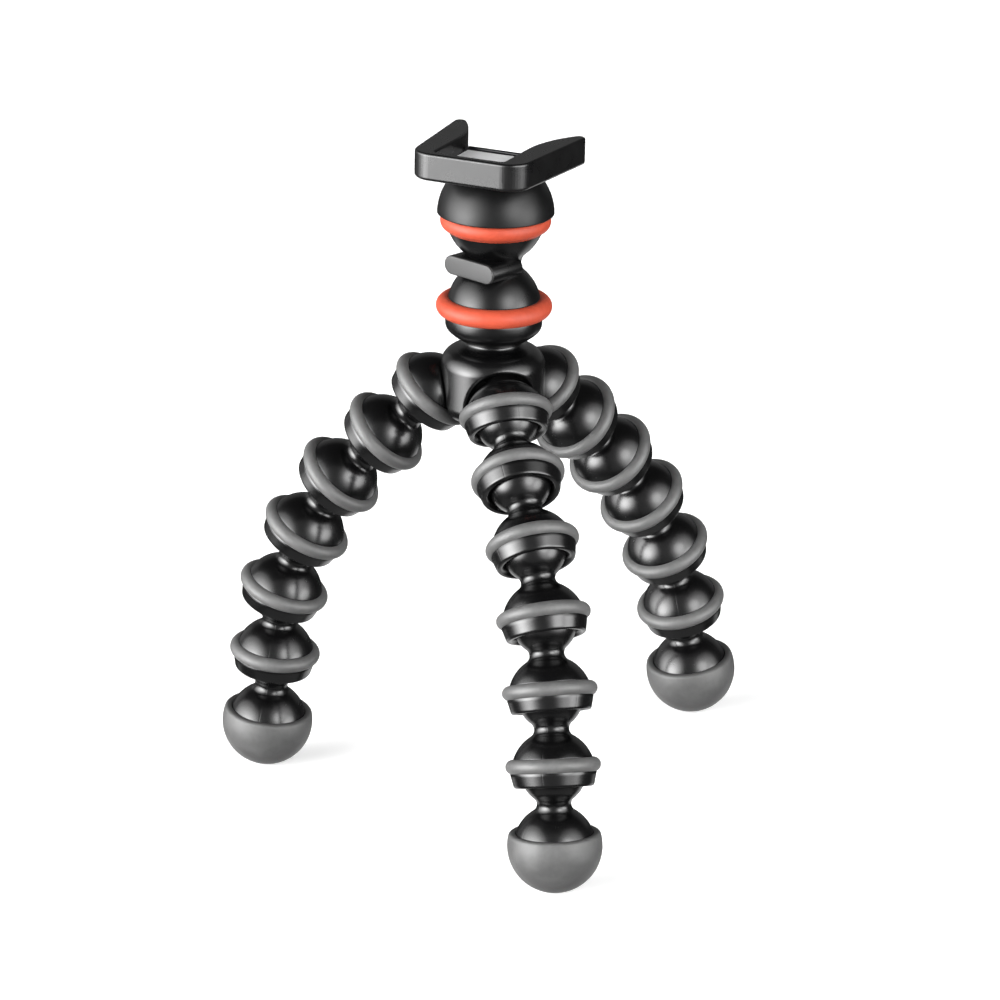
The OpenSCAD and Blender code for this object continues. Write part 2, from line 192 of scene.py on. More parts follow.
def lathe_arrays(profile, columns=120, seams=(), ridge=0.013, half=0.09, span=None):
    """Vertices and faces of a profile (radius, height) turned about Z. The profile runs from the top down the outside, so its
    normals point out. seams are azimuths in degrees at which a fine parting ridge stands on the surface between span's heights."""
    p = np.asarray(profile, float)
    tangent = np.gradient(p, axis=0)
    normal = np.stack([-tangent[:, 1], tangent[:, 0]], 1)
    normal /= np.maximum(np.linalg.norm(normal, axis=1), 1e-9)[:, None]
    base = list(np.arange(columns) * 360.0 / columns)
    r_ref = max(p[:, 0].max(), 1e-6)
    w = math.degrees(half / r_ref)
    lift = {a: 0.0 for a in base}
    for s in seams:
        near = [a for a in lift if abs((a - s + 180) % 360 - 180) < 2.6 * w]
        for a in near:
            lift.pop(a)
        for o, h in ((-2.0, 0.0), (-1.0, 0.12), (-0.5, 0.72), (0.0, 1.0), (0.5, 0.72), (1.0, 0.12), (2.0, 0.0)):
            lift[(s + o * w) % 360] = h
    az = np.array(sorted(lift))
    h = np.array([lift[a] for a in az])
    n_col, n_row = len(az), len(p)
    weight = np.ones(n_row)
    if span is not None:
        weight = np.clip((p[:, 1] - span[0]) / 0.4, 0, 1) * np.clip((span[1] - p[:, 1]) / 0.4, 0, 1)
        outer = np.arange(n_row) < (span[2] if len(span) > 2 else n_row)
        weight = weight * outer
    verts, rows = [], []
    ca, sa = np.cos(np.radians(az)), np.sin(np.radians(az))
    count = 0
    for i in range(n_row):
        if p[i, 0] < 1e-6:
            verts.append(np.array([[0.0, 0.0, p[i, 1]]]))
            rows.append([count])
            count += 1
            continue
        push = -ridge * weight[i] * h
        r = p[i, 0] + push * normal[i, 0]
        z = p[i, 1] + push * normal[i, 1]
        verts.append(np.stack([r * ca, r * sa, z], 1))
        rows.append(list(range(count, count + n_col)))
        count += n_col
    faces = []
    for a, b in zip(rows[:-1], rows[1:]):
        if len(a) == 1 and len(b) == 1:
            continue
        for j in range(n_col):
            k = (j + 1) % n_col
            if len(a) == 1:
                faces.append((a[0], b[j], b[k]))
            elif len(b) == 1:
                faces.append((a[j], b[0], a[k]))
            else:
                faces.append((a[j], b[j], b[k], a[k]))
    return np.vstack(verts), faces


def closed_loop_lathe(profile, columns=120, seams=(), ridge=0.03, half=0.09):
    """A closed section (radius, height) turned about Z, such as a ring. The section runs clockwise seen with radius to the right."""
    p = np.asarray(profile, float)
    p2 = np.vstack([p, p[:1]])
    verts, faces = lathe_arrays(p2, columns, seams, ridge, half)
    n_row = len(p)
    n_col = len(verts) // (n_row + 1)
    last = n_row * n_col
    keep = verts[:last]
    faces = [tuple(i - last if i >= last else i for i in f) for f in faces]
    return keep, faces


def blob(centre, normal, radius, height, n=12):
    """A low round pip whose middle sits at centre on a surface with that normal."""
    nrm = Vector(normal).normalized()
    side = nrm.orthogonal().normalized()
    up = nrm.cross(side)
    prof = np.vstack([line((0, height)), arc(0, 0, 1, 80, -90, 8)[:, :] * np.array([radius, height])])
    prof[0] = (0, height)
    prof[-1] = (0, -height)
    v, f = lathe_arrays(prof, n)
    basis = np.array([side, up, nrm])
    return v @ basis + np.array(centre), f


def merged(*parts):
    """Several vertex and face lists as one."""
    vs, fs, base = [], [], 0
    for v, f in parts:
        vs.append(np.asarray(v, float))
        fs += [tuple(i + base for i in face) for face in f]
        base += len(v)
    return np.vstack(vs), fs


# Rounded implicit shapes, for the pieces that are not turned
def r_union(a, b, r):
    u, v = np.maximum(r - a, 0), np.maximum(r - b, 0)
    return np.maximum(r, np.minimum(a, b)) - np.sqrt(u * u + v * v)


def r_inter(a, b, r):
    u, v = np.maximum(r + a, 0), np.maximum(r + b, 0)
    return np.minimum(-r, np.maximum(a, b)) + np.sqrt(u * u + v * v)


def polygon_distance(x, y, pts):
    """Signed distance to a closed polygon, negative inside."""
    pts = np.asarray(pts, float)
    d2 = np.full(x.shape, 1e18)
    inside = np.zeros(x.shape, bool)
    for (ax, ay), (bx, by) in zip(pts, np.roll(pts, -1, axis=0)):
        ex, ey = bx - ax, by - ay
        wx, wy = x - ax, y - ay
        t = np.clip((wx * ex + wy * ey) / max(ex * ex + ey * ey, 1e-18), 0, 1)
        d2 = np.minimum(d2, (wx - t * ex) ** 2 + (wy - t * ey) ** 2)
        crosses = (ay > y) != (by > y)
        if ey != 0:
            inside ^= crosses & (x < ax + (y - ay) * ex / ey)
    d = np.sqrt(d2)
    return np.where(inside, -d, d)


def surface_of(f, lo, hi, h, rounds=4):
    """Quad mesh of f = 0 between lo and hi, on cells of size h, with its points drawn onto the surface."""
    lo, hi = np.asarray(lo, float), np.asarray(hi, float)
    n = np.ceil((hi - lo) / h).astype(int) + 1
    gx, gy, gz = (lo[i] + h * np.arange(n[i]) for i in range(3))
    F = f(gx[:, None, None], gy[None, :, None], gz[None, None, :])
    F = np.broadcast_to(F, tuple(n)).astype(np.float64)
    S = F < 0
    total = np.zeros(tuple(n - 1), np.int8)
    for dx in (0, 1):
        for dy in (0, 1):
            for dz in (0, 1):
                total += S[dx:n[0] - 1 + dx, dy:n[1] - 1 + dy, dz:n[2] - 1 + dz]
    cells = np.argwhere((total > 0) & (total < 8))
    index = np.full(tuple(n - 1), -1, np.int64)
    index[tuple(cells.T)] = np.arange(len(cells))
    corner = np.array([(dx, dy, dz) for dx in (0, 1) for dy in (0, 1) for dz in (0, 1)])
    vals = np.stack([F[tuple((cells + c).T)] for c in corner], 1)
    acc, cnt = np.zeros((len(cells), 3)), np.zeros(len(cells))
    for a in range(8):
        for b in range(a + 1, 8):
            if np.abs(corner[a] - corner[b]).sum() != 1:
                continue
            va, vb = vals[:, a], vals[:, b]
            m = (va < 0) != (vb < 0)
            t = np.where(m, va / np.where(m, va - vb, 1), 0)
            pos = corner[a] + t[:, None] * (corner[b] - corner[a])
            acc += pos * m[:, None]
            cnt += m
    p = lo + (cells + acc / cnt[:, None]) * h
    quads = []
    for ax in range(3):
        u, v = (ax + 1) % 3, (ax + 2) % 3
        a = np.take(S, range(0, n[ax] - 1), axis=ax)
        b = np.take(S, range(1, n[ax]), axis=ax)
        e = np.argwhere(a != b)
        ok = (e[:, u] > 0) & (e[:, v] > 0) & (e[:, u] < n[u] - 1) & (e[:, v] < n[v] - 1)
        e = e[ok]
        flip = a[tuple(e.T)]
        c = []
        for du, dv in ((-1, -1), (0, -1), (0, 0), (-1, 0)):
            q = e.copy()
            q[:, u] += du
            q[:, v] += dv
            c.append(index[tuple(q.T)])
        c = np.stack(c, 1)
        c = np.where(flip[:, None], c, c[:, ::-1])
        quads.append(c)
    quads = np.vstack(quads)

    def value(q):
        return f(q[:, 0], q[:, 1], q[:, 2])

    eps = 0.01
    for _ in range(rounds):
        g = np.stack([(value(p + d) - value(p - d)) / (2 * eps) for d in np.eye(3) * eps], 1)
        step = value(p) / np.maximum((g * g).sum(1), 0.05)
        p = p - np.clip(step, -0.5 * h, 0.5 * h)[:, None] * g
    return p, quads


def quad_object(name, p, quads, matrix, f):
    """Mesh of a surface, shaded with the true normals of its field f."""
    mesh = bpy.data.meshes.new(name)
    mesh.vertices.add(len(p))
    mesh.vertices.foreach_set("co", (p * MM).astype(np.float32).ravel())
    mesh.loops.add(quads.size)
    mesh.loops.foreach_set("vertex_index", quads.astype(np.int32).ravel())
    mesh.polygons.add(len(quads))
    mesh.polygons.foreach_set("loop_start", np.arange(0, quads.size, 4, dtype=np.int32))
    mesh.update(calc_edges=True)
    mesh.validate()
    mesh.polygons.foreach_set("use_smooth", np.ones(len(mesh.polygons), bool))
    eps = 0.02
    g = np.stack([f(*(p + d).T) - f(*(p - d).T) for d in np.eye(3) * eps], 1)
    g /= np.maximum(np.linalg.norm(g, axis=1), 1e-9)[:, None]
    mesh.normals_split_custom_set_from_vertices(g.tolist())
    ob = bpy.data.objects.new(name, mesh)
    scene.collection.objects.link(ob)
    ob.matrix_world = matrix
    return ob


# ---------------------------------------------------------------------------
# Materials
# ---------------------------------------------------------------------------
def node_material(name):
    m = bpy.data.materials.new(name)
    m.use_nodes = True
    t = m.node_tree
    b = next(n for n in t.nodes if n.type == "BSDF_PRINCIPLED")
    return m, t, b


def noise(t, coord, scale, detail=2.0, rough=0.5):
    n = t.nodes.new("ShaderNodeTexNoise")
    n.inputs["Scale"].default_value = scale
    n.inputs["Detail"].default_value = detail
    n.inputs["Roughness"].default_value = rough
    t.links.new(coord, n.inputs["Vector"])
    return n


def ramp(t, value, stops):
    n = t.nodes.new("ShaderNodeValToRGB")
    while len(n.color_ramp.elements) < len(stops):
        n.color_ramp.elements.new(0.5)
    for e, (pos, col) in zip(n.color_ramp.elements, stops):
        e.position = pos
        e.color = (*col, 1.0) if len(col) == 3 else col
    t.links.new(value, n.inputs["Fac"])
    return n


def map_range(t, value, a, b, c, d):
    n = t.nodes.new("ShaderNodeMapRange")
    for key, v in (("From Min", a), ("From Max", b), ("To Min", c), ("To Max", d)):
        n.inputs[key].default_value = v
    t.links.new(value, n.inputs["Value"])
    return n


def bump(t, height, strength, distance, normal=None):
    n = t.nodes.new("ShaderNodeBump")
    n.inputs["Strength"].default_value = strength
    n.inputs["Distance"].default_value = distance
    t.links.new(height, n.inputs["Height"])
    if normal is not None:
        t.links.new(normal, n.inputs["Normal"])
    return n


def plastic(name, dark, light, rough_lo, rough_hi, grain_scale, grain_depth, specular):
    m, t, b = node_material(name)
    co = t.nodes.new("ShaderNodeTexCoord").outputs["Object"]
    broad = noise(t, co, 300.0, 3.0)
    grain = noise(t, co, grain_scale, 2.0, 0.6)
    specks = noise(t, co, 2600.0, 4.0, 0.7)
    col = ramp(t, broad.outputs["Fac"], [(0.3, dark), (0.7, light)])
    t.links.new(col.outputs["Color"], b.inputs["Base Color"])
    mixed = t.nodes.new("ShaderNodeMath")
    mixed.operation = "ADD"
    r1 = map_range(t, broad.outputs["Fac"], 0.3, 0.7, rough_lo, rough_hi)
    r2 = map_range(t, specks.outputs["Fac"], 0.35, 0.75, -0.012, 0.02)
    t.links.new(r1.outputs["Result"], mixed.inputs[0])
    t.links.new(r2.outputs["Result"], mixed.inputs[1])
    t.links.new(mixed.outputs["Value"], b.inputs["Roughness"])
    n = bump(t, grain.outputs["Fac"], 1.0, grain_depth)
    n = bump(t, broad.outputs["Fac"], 1.0, 0.000006, n.outputs["Normal"])
    t.links.new(n.outputs["Normal"], b.inputs["Normal"])
    b.inputs["Specular IOR Level"].default_value = specular
    b.inputs["IOR"].default_value = 1.5
    return m


def rubber(name, dark, mid, light, rough_lo, rough_hi, specular, grain_depth=0.000016):
    m, t, b = node_material(name)
    co = t.nodes.new("ShaderNodeTexCoord").outputs["Object"]
    broad = noise(t, co, 220.0, 4.0, 0.6)
    grain = noise(t, co, 9000.0, 3.0, 0.6)
    marks = noise(t, co, 900.0, 5.0, 0.7)
    col = ramp(t, broad.outputs["Fac"], [(0.25, dark), (0.5, mid), (0.78, light)])
    mix = t.nodes.new("ShaderNodeMix")
    mix.data_type = "RGBA"
    mix.blend_type = "MULTIPLY"
    fade = ramp(t, marks.outputs["Fac"], [(0.35, (0.9, 0.9, 0.9)), (0.6, (1.0, 1.0, 1.0))])
    mix.inputs["Factor"].default_value = 1.0
    t.links.new(col.outputs["Color"], mix.inputs["A"])
    t.links.new(fade.outputs["Color"], mix.inputs["B"])
    t.links.new(mix.outputs["Result"], b.inputs["Base Color"])
    r1 = map_range(t, broad.outputs["Fac"], 0.3, 0.7, rough_lo, rough_hi)
    t.links.new(r1.outputs["Result"], b.inputs["Roughness"])
    n = bump(t, grain.outputs["Fac"], 1.0, grain_depth)
    n = bump(t, marks.outputs["Fac"], 1.0, 0.00002, n.outputs["Normal"])
    t.links.new(n.outputs["Normal"], b.inputs["Normal"])
    b.inputs["Specular IOR Level"].default_value = specular
    return m


def steel(name):
    m, t, b = node_material(name)
    co = t.nodes.new("ShaderNodeTexCoord").outputs["Object"]
    stretch = t.nodes.new("ShaderNodeMapping")
    stretch.inputs["Scale"].default_value = (220.0, 14000.0, 1.0)
    t.links.new(co, stretch.inputs["Vector"])
    grain = noise(t, stretch.outputs["Vector"], 1.0, 3.0, 0.6)
    col = ramp(t, grain.outputs["Fac"], [(0.3, (0.74, 0.745, 0.745)), (0.7, (0.85, 0.855, 0.855))])
    t.links.new(col.outputs["Color"], b.inputs["Base Color"])
    r = map_range(t, grain.outputs["Fac"], 0.3, 0.7, 0.38, 0.52)
    t.links.new(r.outputs["Result"], b.inputs["Roughness"])
    n = bump(t, grain.outputs["Fac"], 0.4, 0.000006)
    t.links.new(n.outputs["Normal"], b.inputs["Normal"])
    b.inputs["Metallic"].default_value = 0.05
    return m


LINK_BLACK = plastic("link_plastic", (0.0008, 0.0008, 0.0009), (0.0015, 0.0015, 0.0016), 0.225, 0.265, 3000.0, 0.0000010, 0.5)
HUB_BLACK = plastic("hub_plastic", (0.0006, 0.0006, 0.0007), (0.0012, 0.0012, 0.0013), 0.22, 0.26, 4000.0, 0.0000014, 0.5)
HEAD_BLACK = plastic("head_plastic", (0.0010, 0.0010, 0.0011), (0.0018, 0.0018, 0.0019), 0.27, 0.32, 5000.0, 0.0000022, 0.34)
BODY_BLACK = plastic("receiver_plastic", (0.0008, 0.0008, 0.0009), (0.0016, 0.0016, 0.0017), 0.26, 0.31, 6000.0, 0.0000040, 0.5)
GREY_RUBBER = rubber("grey_rubber", (0.062, 0.062, 0.062), (0.074, 0.074, 0.0735), (0.086, 0.086, 0.0855), 0.42, 0.54, 0.50)
# the feet get a darker copy of the grey rubber; its lower albedo is painted shade on the feet
SHADED_FOOT_RUBBER = rubber("foot_rubber_painted_shade", (0.052, 0.052, 0.052), (0.062, 0.062, 0.0615), (0.072, 0.072, 0.0715), 0.44, 0.56, 0.45)
RED_RUBBER = rubber("red_rubber", (0.305, 0.039, 0.018), (0.335, 0.046, 0.021), (0.37, 0.054, 0.026), 0.46, 0.58, 0.28)
BADGE_GREY = plastic("badge_plate", (0.013, 0.013, 0.013), (0.018, 0.018, 0.018), 0.44, 0.54, 8000.0, 0.0000060, 0.46)
STEEL = steel("floor_steel")


def dull_below(m, z0, z1, rough, specular):
    """Lets the finish grow duller from height z1 down to z0."""
    t = m.node_tree
    b = next(n for n in t.nodes if n.type == "BSDF_PRINCIPLED")
    xyz = t.nodes.new("ShaderNodeSeparateXYZ")
    t.links.new(t.nodes.new("ShaderNodeTexCoord").outputs["Object"], xyz.inputs["Vector"])
    more = map_range(t, xyz.outputs["Z"], z0, z1, rough, 0.0)
    total = t.nodes.new("ShaderNodeMath")
    total.operation = "ADD"
    t.links.new(b.inputs["Roughness"].links[0].from_socket, total.inputs[0])
    t.links.new(more.outputs["Result"], total.inputs[1])
    t.links.new(total.outputs["Value"], b.inputs["Roughness"])
    level = map_range(t, xyz.outputs["Z"], z0, z1, specular, b.inputs["Specular IOR Level"].default_value)
    t.links.new(level.outputs["Result"], b.inputs["Specular IOR Level"])


dull_below(BODY_BLACK, 0.0060, 0.0066, 0.10, 0.27)


def finish_piece(ob, material, body, slot, *nodes):
    ob.data.materials.append(material)
    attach(ob, body)
    if nodes:
        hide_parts(*nodes)
    return ob


# ---------------------------------------------------------------------------
# Leg links, rings and feet
# ---------------------------------------------------------------------------
GROOVE_TOP = (6.655, 2.326)


def socket_run(start):
    """From the dome's edge at the ring, past the ring seat, band and mouth, to the inner pole of the socket."""
    seat = line(GROOVE_TOP, (6.32, 1.85), (6.32, 0.25), (7.18, 0.12))
    side = subdivided(line((7.18, 0.12), (BAND_R, -0.12), (6.68, -MOUTH_Z)), 0.5)
    lip = line((6.68, -MOUTH_Z), (5.98, -MOUTH_Z))
    flare = line((5.98, -MOUTH_Z), (5.215, -1.9))
    inner = arc(0, 0, SEAT_R, -20.02, 90, 26)
    inner[-1, 0] = 0
    run = join(start, seat, 0.14, 5)
    run = join(run, side, 0.06, 2)
    run = join(run, lip, 0.48, 8)
    run = join(run, flare, 0.13, 4)
    return np.vstack([run, inner[1:]])


def link_profile():
    top = neck_arcs(DOME_R, BALL_R, PITCH, 1.28, 30, 18, 26, math.degrees(math.atan2(GROOVE_TOP[1], GROOVE_TOP[0])))
    top[0, 0] = 0
    return socket_run(top)


def hub_socket_profile():
    end = math.degrees(math.atan2(GROOVE_TOP[1], GROOVE_TOP[0]))
    a0 = math.degrees(math.acos(2.6 / DOME_R))
    stub = line((0, 9.4), (1.8, 9.4), (1.8, 8.3), (2.6, 8.3), (2.6, DOME_R * sin(a0)))
    dome = arc(0, 0, DOME_R, a0, end, 34)
    return socket_run(np.vstack([stub, dome[1:]]))


def ring_profile(r, z, tube, n=36):
    """Grip ring section, a round tube of radius tube about (r, z)."""
    t = np.radians(np.linspace(0, 360, n, endpoint=False))
    pts = np.stack([r + tube * np.cos(t), z + tube * np.sin(t)], 1)
    return pts[::-1]


LINK_PROFILE, SOCKET_PROFILE = link_profile(), hub_socket_profile()
N_OUT = int(np.argmax(LINK_PROFILE[:, 1] <= -MOUTH_Z + 0.02))
N_OUT_SOCKET = int(np.argmax(SOCKET_PROFILE[:, 1] <= -MOUTH_Z + 0.02))
RING_PROFILE = ring_profile(RING_R, RING_Z, TUBE_R)
# Turn of each piece about its own axis, which sets where its parting line shows
SEAM_LINK = {"left": (283, 324, 95, 110, 11), "front": (60, 200, 150, 302, 253), "right": (40, 244, 218, 236, 310)}
SEAM_SOCKET = {"left": 30, "front": 275, "right": 100}
SEAM_FOOT = {"left": 8, "front": 40, "right": 200}


def gate_pip(azimuth):
    """A small round gate mark on the ball, just above the neck."""
    n = np.array([cos(-48) * cos(azimuth), cos(-48) * sin(azimuth), sin(-48)])
    return blob(np.array([0, 0, PITCH]) + n * BALL_R, n, 0.34, 0.045)


def make_leg(k):
    leg = LEGS[k]
    ms = leg_matrices(k)
    s = SEAM_SOCKET[leg]
    v, f = lathe_arrays(SOCKET_PROFILE, 132, (s, s + 180), span=(-MOUTH_Z, 7.0, N_OUT_SOCKET))
    finish_piece(mesh_object(f"hub_socket_{leg}_shell", v, f, ms[0]), LINK_BLACK, "hub", "black_plastic", f"hub_socket_{leg}")
    v, f = closed_loop_lathe(RING_PROFILE, 144, (s,), 0.02, 0.08)
    finish_piece(mesh_object(f"hub_ring_{leg}_grip", v, f, ms[0]), GREY_RUBBER, "hub", "grey_rubber", f"hub_ring_{leg}")
    for i in range(1, 6):
        s = SEAM_LINK[leg][i - 1]
        body = lathe_arrays(LINK_PROFILE, 132, (s, s + 180), span=(-MOUTH_Z, 17.0, N_OUT))
        v, f = merged(body, gate_pip(230.0)) if leg == "front" and i in (2, 3, 4) else body
        finish_piece(mesh_object(f"link_{leg}_{i}_shell", v, f, ms[i]), LINK_BLACK, f"{leg}_link_{i}", "black_plastic", f"link_{leg}_{i}")
        v, f = closed_loop_lathe(RING_PROFILE, 144, (s,), 0.02, 0.08)
        finish_piece(mesh_object(f"ring_{leg}_{i}_grip", v, f, ms[i]), GREY_RUBBER, f"{leg}_link_{i}", "grey_rubber", f"ring_{leg}_{i}")
    core = neck_arcs(CORE_R, BALL_R, FOOT_PITCH, 1.5, 30, 22, 46, -90)
    core[0, 0] = core[-1, 0] = 0
    s = SEAM_FOOT[leg]
    v, f = lathe_arrays(core, 132, (s, s + 180), span=(1.5, 17.0))
    finish_piece(mesh_object(f"foot_core_{leg}_shell", v, f, ms[6]), LINK_BLACK, f"{leg}_foot", "black_plastic", f"foot_core_{leg}")
    rho = 0.55
    theta = math.degrees(math.asin((FOOT_RIM - rho) / (FOOT_R - rho)))
    cx, cz = (FOOT_R - rho) * cos(theta), (FOOT_R - rho) * sin(theta)
    outer = arc(0, 0, FOOT_R, -90, theta, 60)
    lip = arc(cx, cz, rho, theta, 97, 14)
    cup_r, meet = CORE_R + 0.012, FOOT_RIM - 0.1
    cup = line(tuple(lip[-1]), (6.66, FOOT_RIM - 0.03), (math.sqrt(cup_r ** 2 - meet ** 2), meet))
    bowl = arc(0, 0, cup_r, math.degrees(math.asin(meet / cup_r)), -90, 34)[1:]
    rubber_profile = np.vstack([outer, lip[1:], cup[1:], bowl])
    rubber_profile[0, 0] = rubber_profile[-1, 0] = 0
    # from the inner pole out over the lip and down to the ground, so that the normals point out
    v, f = lathe_arrays(rubber_profile[::-1], 144, (s, s + 180), 0.018, 0.10, span=(-7.2, 2.0))
    finish_piece(mesh_object(f"foot_{leg}_rubber", v, f, ms[6]), SHADED_FOOT_RUBBER, f"{leg}_foot", "grey_rubber", f"foot_{leg}")


for leg_index in range(3):
    make_leg(leg_index)


# ---------------------------------------------------------------------------
# Hub
# ---------------------------------------------------------------------------
POCKETS = [(np.array(socket_local(k).translation) / MM, np.array(socket_local(k).to_3x3().col[2])) for k in range(3)]


def hub_field(x, y, z):
    q = np.sqrt(x * x + y * y)
    q, zz = np.broadcast_arrays(q, z)
    shoulder = (zz + 5.15 + 0.25 * (q - 5.5)) / math.sqrt(1.0625)
    body = r_inter(r_inter(q - HUB_R, shoulder, 2.4), -17.6 - zz, 2.6)
    neck = np.maximum(q - HUB_NECK_R, np.maximum(zz + 2.0, -zz - 8.0))
    f = r_union(body, neck, 1.5)
    ball = np.sqrt(x * x + y * y + z * z) - HUB_BALL_R
    f = r_union(f, np.broadcast_to(ball, f.shape), 0.5)
    for c, axis in POCKETS:
        dx, dy, dz = x - c[0], y - c[1], z - c[2]
        away = np.sqrt(dx * dx + dy * dy + dz * dz)
        along = dx * axis[0] + dy * axis[1] + dz * axis[2]
        pocket = np.minimum(away - POCKET_R, np.maximum(away - 8.2, along - 3.0))
        f = r_inter(f, -pocket, 0.6)
    return f


def hub_seam():
    """Fine parting ridge down the front of the hub, from the neck to the rim of the front pocket."""
    run = []
    for r in np.linspace(4.7, 8.6, 22):
        zs = np.linspace(-4.4, -8.5, 400)
        v = hub_field(np.full(400, r * sin(YAW)), np.full(400, -r * cos(YAW)), zs)
        below = np.nonzero(v < 0)[0]
        if len(below):
            run.append((r, zs[below[0]]))
    run = np.array(run)
    tangent = np.gradient(run, axis=0)
    out = np.stack([-tangent[:, 1], tangent[:, 0]], 1)
    out /= np.linalg.norm(out, axis=1)[:, None]
    side = np.array([cos(YAW), sin(YAW), 0.0])
    verts, faces = [], []
    for (r, z), (nr, nz) in zip(run, out):
        base = np.array([r * sin(YAW), -r * cos(YAW), z])
        nrm = np.array([nr * sin(YAW), -nr * cos(YAW), nz])
        for w, h in ((-0.07, -0.05), (0.07, -0.05), (0.0, 0.035)):
            verts.append(base + side * w + nrm * h)
    n = len(run)
    for i in range(n - 1):
        for j in range(3):
            k = (j + 1) % 3
            faces.append((3 * i + j, 3 * i + k, 3 * i + 3 + k, 3 * i + 3 + j))
    faces += [(2, 1, 0), (3 * n - 3, 3 * n - 2, 3 * n - 1)]
    return np.array(verts), faces


p, q = surface_of(hub_field, (-9.6, -9.6, -18.1), (9.6, 9.6, 6.8), 0.16)
v, f = merged((p, q), hub_seam())
finish_piece(mesh_object("hub_core_shell", v, f, M_HUB), HUB_BLACK, "hub", "black_plastic", "hub")


# ---------------------------------------------------------------------------
# Head link with its badge bar, rings and badge
# ---------------------------------------------------------------------------
def head_profile():
    d = HEAD_PITCH - HEAD_RING_Z
    edge = (7.85, 1.55)
    top = neck_arcs(HEAD_DOME_R, HEAD_BALL_R, d, 2.4, 40, 22, 30, math.degrees(math.atan2(edge[1], edge[0])))
    top[:, 1] += HEAD_RING_Z
    top[0, 0] = 0
    e = tuple(top[-1])
    seat = line(e, (7.4, 2.8), (7.4, 1.0), (8.15, 0.45))
    side = flowing([(8.15, 0.45), (HEAD_BAND_R, 0.15), (8.32, -0.8), (8.2, -1.6), (7.85, -2.2), (7.15, -2.85), (6.1, -3.58), (5.2, -4.1)])
    lip = line((5.2, -4.1), (4.9, -4.1))
    inner = arc(0, 0, HUB_BALL_R + 0.05, math.degrees(math.asin(-4.08 / (HUB_BALL_R + 0.05))), 90, 40)
    inner[-1, 0] = 0
    run = join(top, seat, 0.12, 4)
    run = join(run, side, 0.06, 2)
    run = join(run, lip, 0.12, 4)
    return np.vstack([run, inner])


def pill_ring(w, h, grow, n=16):
    """Outline of a pill of width w and height h, moved inwards by grow."""
    r = h / 2
    a, b = (w - h) / 2, max(r - grow, 0.01)
    right = [(a + b * math.cos(t), b * math.sin(t)) for t in np.linspace(-math.pi / 2, math.pi / 2, n)]
    left = [(-a + b * math.cos(t), b * math.sin(t)) for t in np.linspace(math.pi / 2, 3 * math.pi / 2, n)]
    return right + left


def pill_solid(w, h, y_back, y_front, edge_back, edge_front, steps=5):
    """A pill-shaped bar along -Y from y_back to y_front with rounded rims."""
    loops = []
    for i in range(steps + 1):
        t = math.pi / 2 * i / steps
        loops.append((edge_back * (1 - math.sin(t)), y_back - edge_back * (1 - math.cos(t))))
    for i in range(steps + 1):
        t = math.pi / 2 * i / steps
        loops.append((edge_front * (1 - math.cos(t)), y_front + edge_front * (1 - math.sin(t))))
    verts, n = [], None
    for g, y in loops:
        ring = pill_ring(w, h, g)
        n = len(ring)
        verts += [(x, y, z) for x, z in ring]
    faces = []
    for a in range(len(loops) - 1):
        for j in range(n):
            k = (j + 1) % n
            faces.append((a * n + j, a * n + k, (a + 1) * n + k, (a + 1) * n + j))
    faces.append(tuple(range(n))[::-1])
    faces.append(tuple((len(loops) - 1) * n + j for j in range(n)))
    return np.array(verts), faces


HEAD_PROFILE = head_profile()
N_OUT_HEAD = int(np.argmax(HEAD_PROFILE[:, 1] <= -4.0))
turned = lathe_arrays(HEAD_PROFILE, 144, (150, 345), 0.010, 0.07, span=(-4.0, 26.0, N_OUT_HEAD))
bv, bf = pill_solid(BADGE_W, BADGE_H, 0.9, -BADGE_REACH + 0.52, 0.02, 0.14)
bv = bv + np.array([0, 0, BAR_Z])
v, f = merged(turned, (bv, bf))
finish_piece(mesh_object("head_link_shell", v, f, M_HEAD), HEAD_BLACK, "head", "black_plastic", "head_link")
v, f = pill_solid(BADGE_W, BADGE_H, -BADGE_REACH + 0.5, -BADGE_REACH, 0.03, 0.22)
v = v + np.array([0, 0, BAR_Z])
finish_piece(mesh_object("badge_face", v, f, M_HEAD), BADGE_GREY, "head", "badge_plate", "badge")
v, f = closed_loop_lathe(ring_profile(HEAD_RING_R, HEAD_RING_Z, HEAD_TUBE_R, 40), 160, (120,), 0.03, 0.08)
head_ring_piece = finish_piece(mesh_object("head_ring_grip", v, f, M_HEAD), RED_RUBBER, "head", "red_rubber", "head_ring")
# the glossy hub below shows no red glow in the studio light
head_ring_piece.visible_glossy = False


# ---------------------------------------------------------------------------
# Receiver, its floor plate and the ring in the cup's mouth
# ---------------------------------------------------------------------------
def arm_x(y):
    return REC_W / 2 + (y + REC_FRONT) * math.tan(rad(ARM_SPLAY))


TIP_Y, IN_FRONT = REC_L - REC_FRONT, -REC_FRONT + FRONT_T


def round_poly(pts, radii, n=8):
    """A closed polygon with each corner rounded by its radius."""
    pts = [np.array(p, float) for p in pts]
    out = []
    for i, (p, r) in enumerate(zip(pts, radii)):
        a, b = pts[i - 1] - p, pts[(i + 1) % len(pts)] - p
        a, b = a / np.linalg.norm(a), b / np.linalg.norm(b)
        if r <= 0:
            out.append(p)
            continue
        half = math.acos(max(-1, min(1, float(a @ b)))) / 2
        d = r / math.tan(half)
        c = p + (a + b) / np.linalg.norm(a + b) * (r / math.sin(half))
        s, e = p + a * d - c, p + b * d - c
        a0, a1 = math.atan2(s[1], s[0]), math.atan2(e[1], e[0])
        da = (a1 - a0 + math.pi) % (2 * math.pi) - math.pi
        out += [c + r * np.array([math.cos(a0 + da * t), math.sin(a0 + da * t)]) for t in np.linspace(0, 1, n)]
    return np.array(out)


